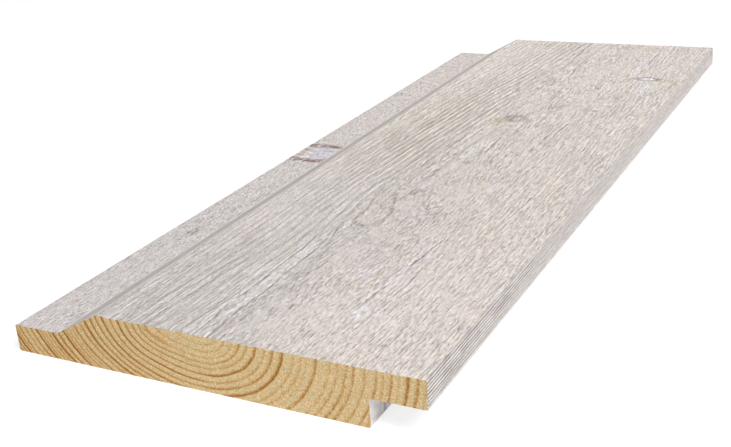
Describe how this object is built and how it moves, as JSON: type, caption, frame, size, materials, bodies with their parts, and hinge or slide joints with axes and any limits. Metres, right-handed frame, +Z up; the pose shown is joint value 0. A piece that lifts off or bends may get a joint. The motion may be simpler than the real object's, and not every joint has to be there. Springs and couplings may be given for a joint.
{
  "type": "double rebated cladding board",
  "caption": "Straight softwood cladding board with a sloped rebate along one face edge and a square rebate along the other back edge, so that like boards lap; pale stained sawn face.",
  "frame": {"origin": "middle of the board's outline, on the plane of its back", "axes": "+X across the board from the tongue edge to the lip edge, +Y along the grain, +Z up out of the face"},
  "size_m": [0.148, 0.375, 0.019],
  "materials": {
    "pale_stained_softwood": "pale grey-white stain on sawn and planed softwood, with bare honey-coloured end grain"
  },
  "bodies": {
    "root": {"cladding_board": "pale_stained_softwood"}
  },
  "joints": []
}
